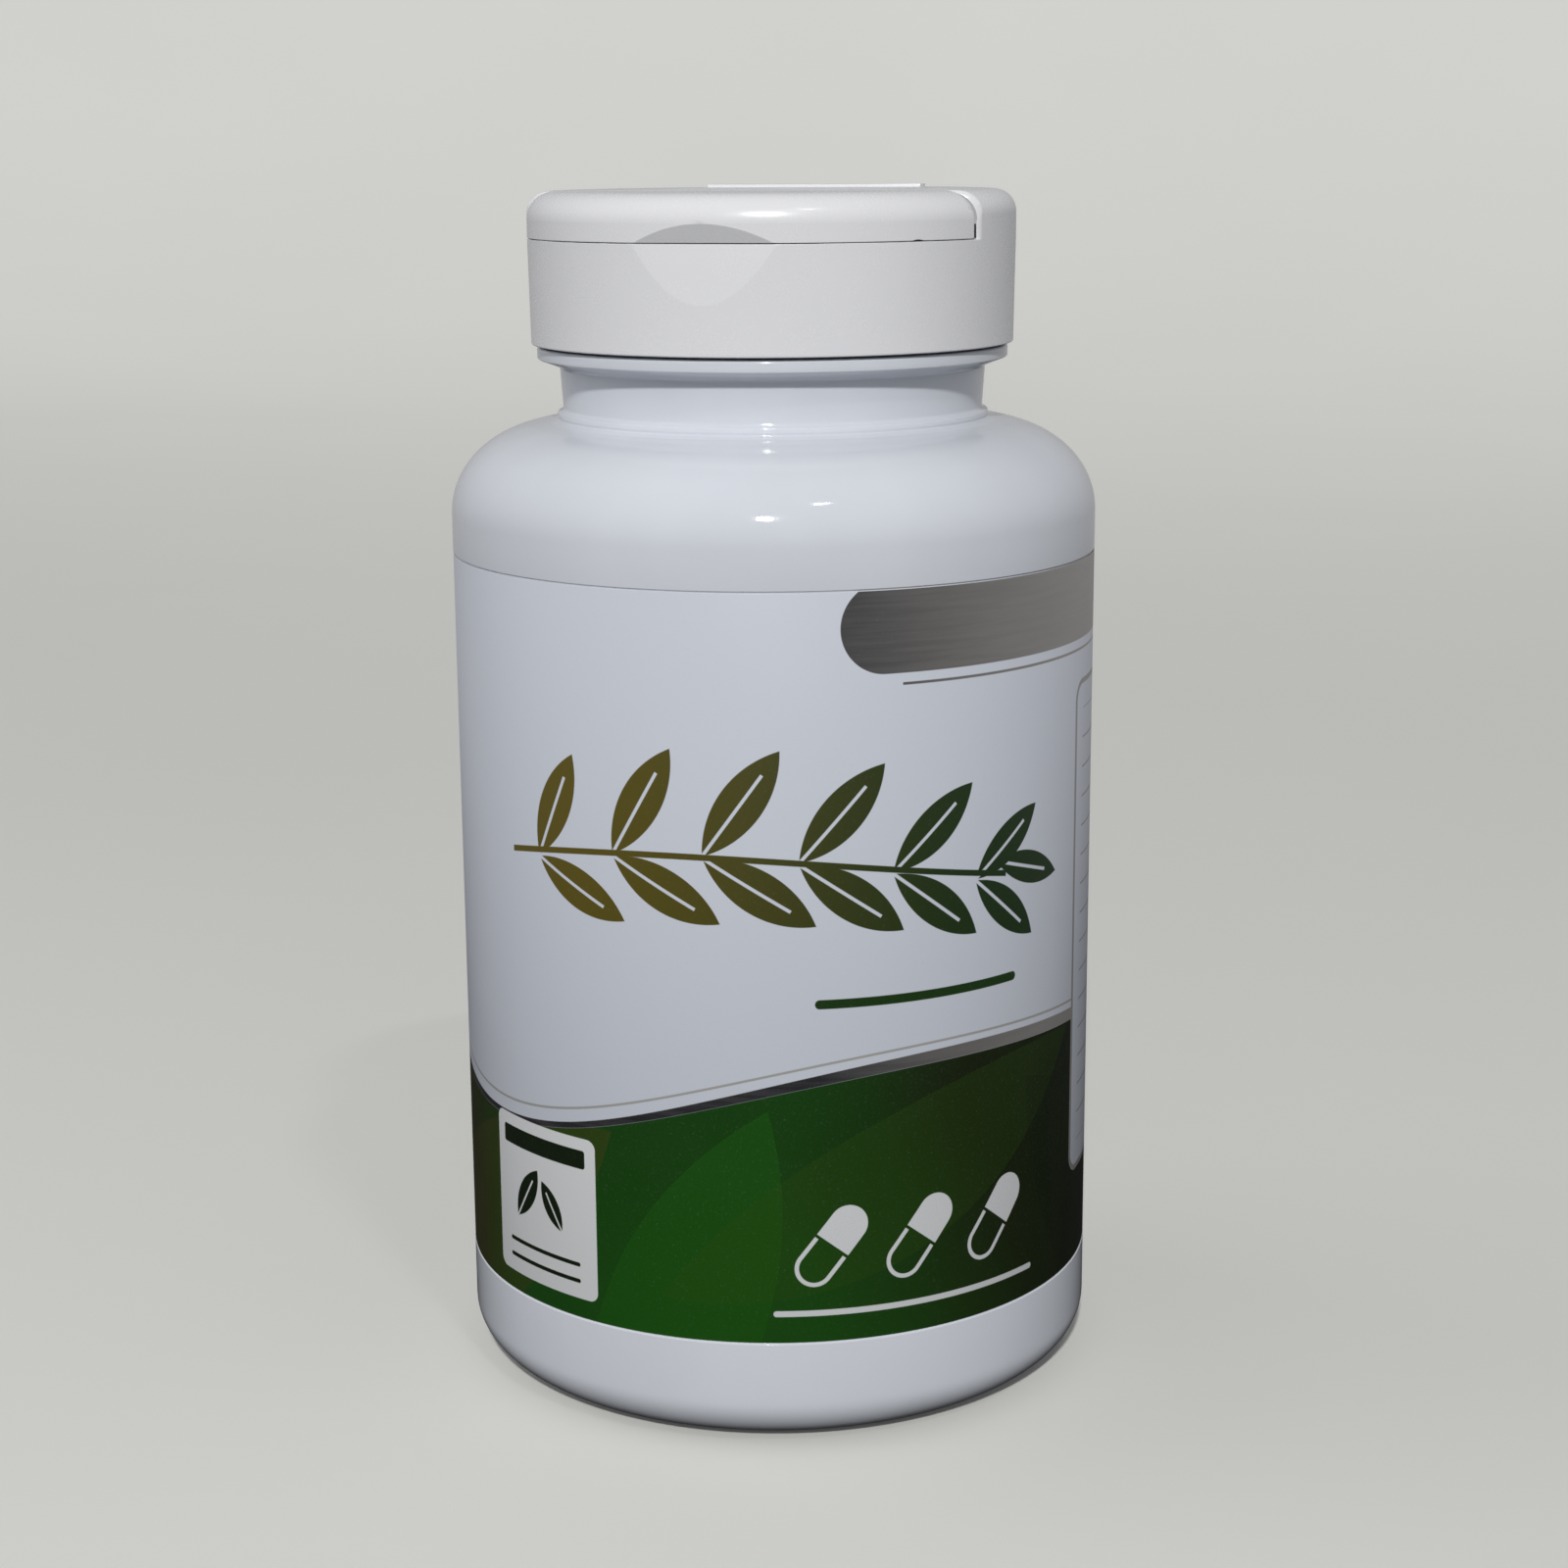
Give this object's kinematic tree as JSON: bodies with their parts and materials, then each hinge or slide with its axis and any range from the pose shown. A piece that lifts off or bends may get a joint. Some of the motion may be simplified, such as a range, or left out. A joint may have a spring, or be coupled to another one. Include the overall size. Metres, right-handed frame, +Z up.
{
  "type": "capsule bottle",
  "caption": "Round plastic capsule bottle with a screw cap, a flip-up dispensing lid, a sealing ring and a wrap label.",
  "frame": {"origin": "centre of the base, in the plane that the bottle stands on", "axes": "+Z up along the bottle's axis; the lid's thumb recess faces -Y and its hinge line is along X"},
  "size_m": [0.0646, 0.0646, 0.1188],
  "materials": {
    "bottle_plastic": "opaque cool white blow-moulded plastic, glossy with a soft sheen",
    "label_film": "printed satin film: white field, grey and green bands, no lettering",
    "seal_foam": "matt closed-cell foam",
    "cap_plastic": "smooth satin white injection-moulded plastic",
    "lid_plastic": "smooth satin white injection-moulded plastic"
  },
  "bodies": {
    "bottle": {"bottle": "bottle_plastic", "label": "label_film"},
    "seal": {"sealing_ring": "seal_foam"},
    "cap": {"cap": "cap_plastic"},
    "lid": {"lid": "lid_plastic"}
  },
  "joints": [
    {"name": "cap_lift", "type": "slide", "parent": "bottle", "child": "seal", "axis": [0, 0, 1], "range_m": [0, 0.0053]},
    {"name": "cap_turn", "type": "hinge", "parent": "seal", "child": "cap", "pos_m": [0, 0, 0.104], "axis": [0, 0, 1], "range_deg": [0, 450]},
    {"name": "lid_hinge", "type": "hinge", "parent": "cap", "child": "lid", "pos_m": [0, -0.0086, 0.1186], "axis": [-1, 0, 0], "range_deg": [0, 175]}
  ],
  "couplings": [
    {"joint": "cap_lift", "follows": "cap_turn", "m_per_rad": 0.0006737}
  ]
}
